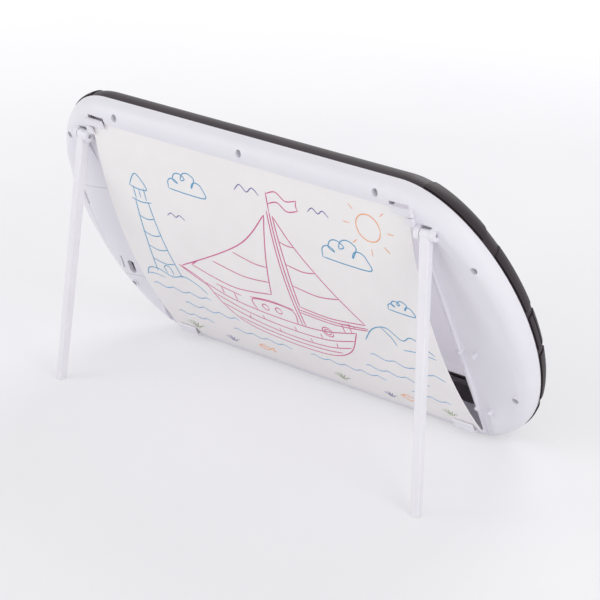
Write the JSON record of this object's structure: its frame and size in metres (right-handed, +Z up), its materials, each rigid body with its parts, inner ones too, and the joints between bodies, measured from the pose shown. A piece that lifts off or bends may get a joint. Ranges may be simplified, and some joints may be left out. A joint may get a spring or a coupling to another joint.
{
  "type": "light-up drawing board",
  "caption": "Stadium-shaped drawing board with an edge-lit clear panel, a bowed picture card in its rear window and folding rear legs.",
  "frame": {"origin": "middle of the narrow flat on the rear shell's lower edge, on the table the board stands on", "axes": "+X to the right of the person drawing, +Y away from that person towards the legs, +Z up; the drawing side faces -Y"},
  "size_m": [0.3634, 0.1164, 0.1902],
  "materials": {
    "dark_plastic": "charcoal moulded plastic, half gloss",
    "dark_grip": "charcoal moulded plastic, half gloss",
    "white_plastic": "white moulded plastic with a faint lilac cast, satin",
    "clear_acrylic": "clear cast sheet with polished edges",
    "white_foam": "white foam tape",
    "black_plastic": "black moulded plastic, matt",
    "white_board": "white circuit strip",
    "lamp_white": "yellowish lamp window",
    "green_board": "green solder mask",
    "zinc_steel": "zinc-plated steel",
    "white_button": "white button plastic, half gloss",
    "cell_jacket": "plain dark jacket",
    "nickel_plate": "nickel-plated spring steel",
    "printed_card": "smooth off-white card with a coloured line drawing",
    "black_wire": "black insulation"
  },
  "bodies": {
    "board": {"front_frame": "dark_plastic", "rear_shell": "white_plastic", "light_panel": "clear_acrylic", "panel_seals": "white_foam", "lower_led_bar": "black_plastic", "upper_led_bar": "black_plastic", "lower_led_strip": "white_board", "upper_led_strip": "white_board", "lower_leds": "lamp_white", "upper_leds": "lamp_white", "left_grips": "dark_grip", "right_grips": "dark_grip", "left_end_caps": "dark_grip", "right_end_caps": "dark_grip", "control_board": "green_board", "board_switches": "black_plastic", "board_parts": "black_plastic", "board_screws": "zinc_steel", "battery_tray": "white_plastic", "battery_cells": "cell_jacket", "battery_contacts": "nickel_plate", "battery_springs": "nickel_plate", "battery_screw": "zinc_steel", "case_screws": "zinc_steel", "left_leg_pin": "zinc_steel", "right_leg_pin": "zinc_steel", "template_card": "printed_card", "power_lead": "black_wire"},
    "left_leg": {"left_leg": "white_plastic"},
    "right_leg": {"right_leg": "white_plastic"},
    "battery_door": {"battery_door": "white_plastic"},
    "power_button": {"power_button": "white_button"},
    "mode_button": {"mode_button": "white_button"}
  },
  "joints": [
    {"name": "left_leg_hinge", "type": "hinge", "parent": "board", "child": "left_leg", "pos_m": [-0.137, 0.0668, 0.16157], "axis": [0.9847, 0.1718, -0.0301], "range_deg": [-31.8, 0]},
    {"name": "right_leg_hinge", "type": "hinge", "parent": "board", "child": "right_leg", "pos_m": [0.137, 0.0668, 0.16157], "axis": [0.9847, -0.1718, 0.0301], "range_deg": [-31.8, 0]},
    {"name": "battery_door_hinge", "type": "hinge", "parent": "board", "child": "battery_door", "pos_m": [0.152, 0.04804, 0.1138], "axis": [1, 0, 0], "range_deg": [0, 45]},
    {"name": "power_button_push", "type": "slide", "parent": "board", "child": "power_button", "axis": [0, 0.9421, -0.3355], "range_m": [0, 0.0008], "stiffness_N_per_m": 400, "springref_m": -0.0006},
    {"name": "mode_button_push", "type": "slide", "parent": "board", "child": "mode_button", "axis": [0, 0.9421, -0.3355], "range_m": [0, 0.0008], "stiffness_N_per_m": 400, "springref_m": -0.0006}
  ]
}
